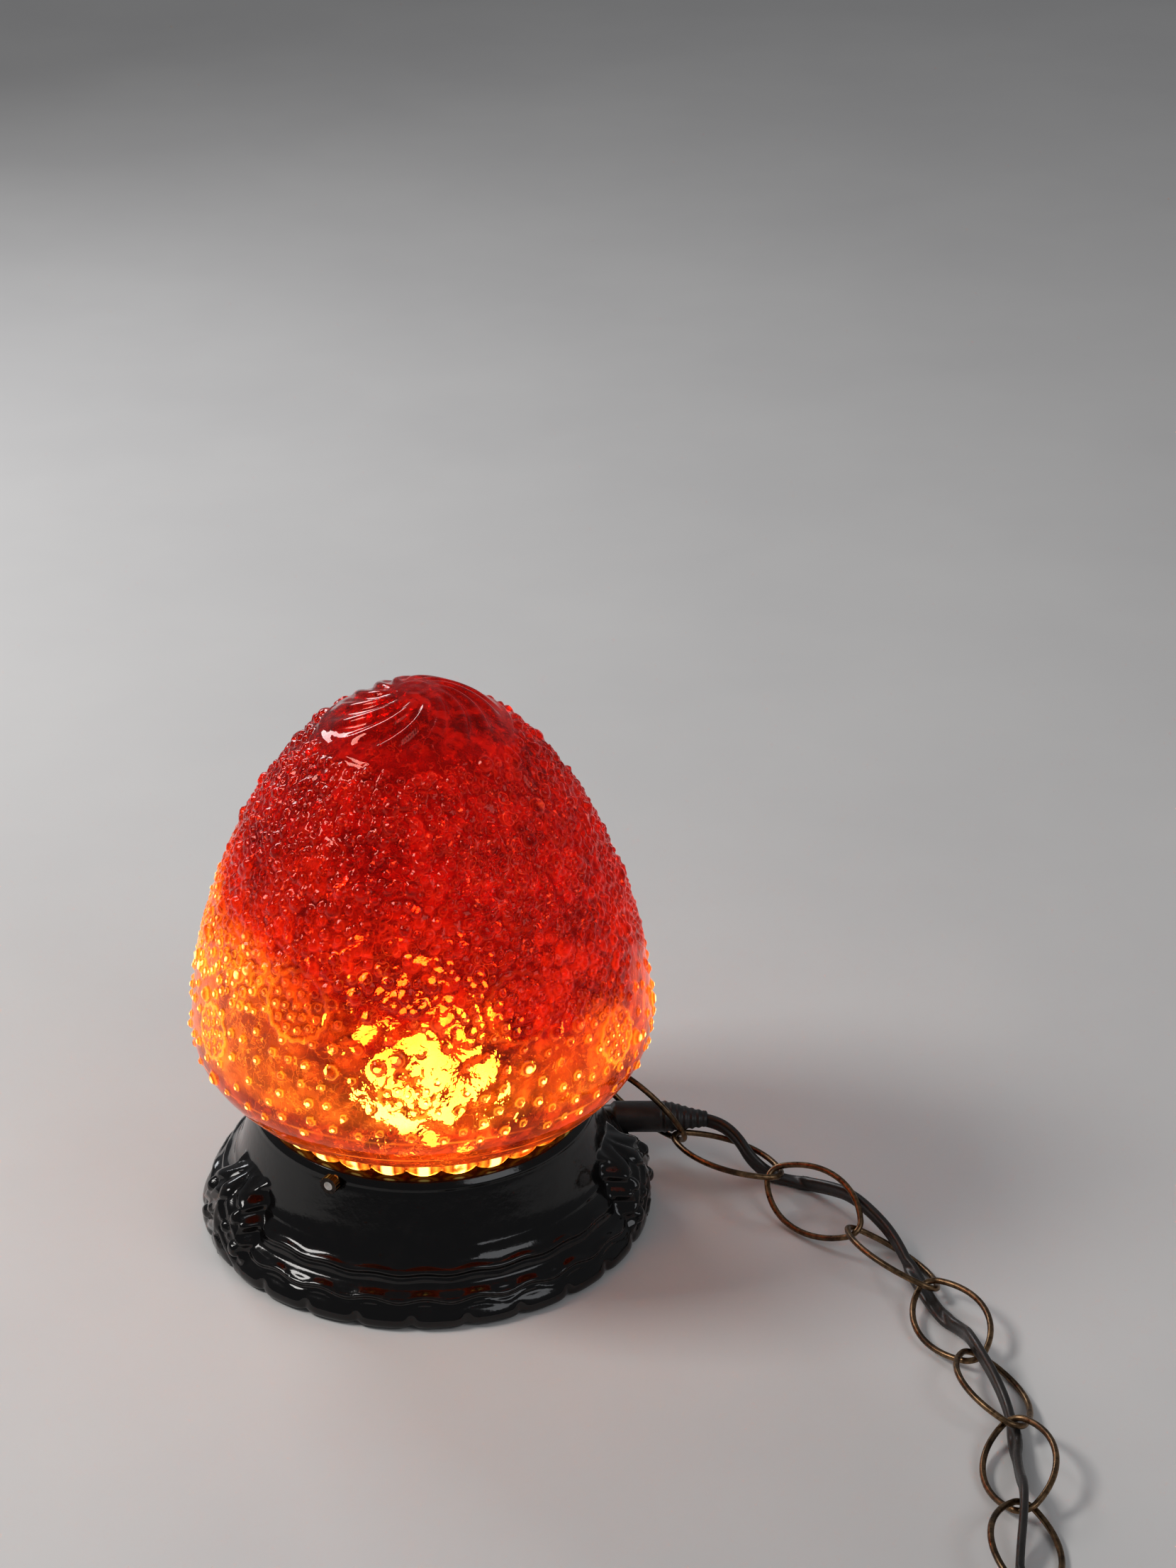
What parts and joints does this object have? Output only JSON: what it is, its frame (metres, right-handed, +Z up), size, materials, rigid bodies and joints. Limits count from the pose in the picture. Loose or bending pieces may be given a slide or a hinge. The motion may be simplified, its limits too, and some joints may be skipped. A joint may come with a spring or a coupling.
{
  "type": "accent table lamp",
  "caption": "Small table lamp with a pressed-glass dome shade, a dark ornamental base, a round bulb and a mains cord threaded through a link chain.",
  "frame": {"origin": "centre of the base on the surface it stands on", "axes": "+Z up along the lamp axis, -Y to the front, the cord leaves towards +X"},
  "size_m": [0.2687, 0.3492, 0.1905],
  "materials": {
    "base_enamel": "gloss black enamel over cast metal",
    "zinc_plate": "zinc plated, satin",
    "felt": "dark felt",
    "brass_parts": "turned and pressed brass",
    "phenolic": "dark brown moulded phenolic",
    "card_sleeve": "dark varnished card tube",
    "bulb_insulator": "black glass with a soldered tip",
    "bulb_cap": "rolled screw cap",
    "bulb_glass": "clear glass, warm light",
    "filament_glow": "glowing filament",
    "shade_glass": "pressed glass shading from red to amber",
    "black_rubber": "moulded black rubber",
    "lead_insulation": "insulated wires",
    "bronze": "aged bronze finish",
    "cord_jacket": "black vinyl lamp cord"
  },
  "bodies": {
    "lamp_base": {"base_casting": "base_enamel", "bottom_plate": "zinc_plate", "centre_contact": "brass_parts", "chain_eye": "bronze", "chain_links": "bronze", "cord_coil": "cord_jacket", "cord_run": "cord_jacket", "cord_tail": "cord_jacket", "felt_pad": "felt", "lamp_pipe": "zinc_plate", "lead_live": "lead_insulation", "lead_neutral": "lead_insulation", "lock_nut": "brass_parts", "lock_washer": "zinc_plate", "plate_screws": "zinc_plate", "plug_blades": "brass_parts", "plug_body": "cord_jacket", "screw_shell": "brass_parts", "socket_cap": "brass_parts", "socket_insulator": "phenolic", "socket_sleeve": "card_sleeve", "strain_relief": "black_rubber", "terminal_screws": "brass_parts"},
    "shade": {"glass_shade": "shade_glass"},
    "bulb_axis": {"bulb_tip": "bulb_insulator"},
    "bulb": {"bulb_base": "bulb_cap", "bulb_glass": "bulb_glass", "bulb_stem": "bulb_glass", "support_wires": "zinc_plate", "filament": "filament_glow"},
    "screw_1_axis": {"shade_screw_shank_1": "zinc_plate"},
    "screw_1": {"shade_screw_head_1": "brass_parts"},
    "screw_2_axis": {"shade_screw_shank_2": "zinc_plate"},
    "screw_2": {"shade_screw_head_2": "brass_parts"},
    "screw_3_axis": {"shade_screw_shank_3": "zinc_plate"},
    "screw_3": {"shade_screw_head_3": "brass_parts"}
  },
  "joints": [
    {"name": "shade_lift", "type": "slide", "parent": "lamp_base", "child": "shade", "axis": [0, 0, 1], "range_m": [0, 0.12]},
    {"name": "bulb_rise", "type": "slide", "parent": "lamp_base", "child": "bulb_axis", "axis": [0, 0, 1], "range_m": [0, 0.01015]},
    {"name": "bulb_turn", "type": "hinge", "parent": "bulb_axis", "child": "bulb", "pos_m": [0, 0, 0.0495], "axis": [0, 0, 1], "range_deg": [0, 1440]},
    {"name": "shade_screw_1_travel", "type": "slide", "parent": "lamp_base", "child": "screw_1_axis", "axis": [-0.4695, -0.8829, 0], "range_m": [0, 0.00399]},
    {"name": "shade_screw_1_turn", "type": "hinge", "parent": "screw_1_axis", "child": "screw_1", "pos_m": [-0.02784, -0.05236, 0.041], "axis": [-0.4695, -0.8829, 0], "range_deg": [0, 2880]},
    {"name": "shade_screw_2_travel", "type": "slide", "parent": "lamp_base", "child": "screw_2_axis", "axis": [0.9994, 0.0349, 0], "range_m": [0, 0.00399]},
    {"name": "shade_screw_2_turn", "type": "hinge", "parent": "screw_2_axis", "child": "screw_2", "pos_m": [0.05926, 0.00207, 0.041], "axis": [0.9994, 0.0349, 0], "range_deg": [0, 2880]},
    {"name": "shade_screw_3_travel", "type": "slide", "parent": "lamp_base", "child": "screw_3_axis", "axis": [-0.5299, 0.848, 0], "range_m": [0, 0.00399]},
    {"name": "shade_screw_3_turn", "type": "hinge", "parent": "screw_3_axis", "child": "screw_3", "pos_m": [-0.03142, 0.05029, 0.041], "axis": [-0.5299, 0.848, 0], "range_deg": [0, 2880]}
  ],
  "couplings": [
    {"joint": "bulb_turn", "follows": "bulb_rise", "rad_per_m": 2473.7},
    {"joint": "shade_screw_1_turn", "follows": "shade_screw_1_travel", "rad_per_m": 12566},
    {"joint": "shade_screw_2_turn", "follows": "shade_screw_2_travel", "rad_per_m": 12566},
    {"joint": "shade_screw_3_turn", "follows": "shade_screw_3_travel", "rad_per_m": 12566}
  ]
}
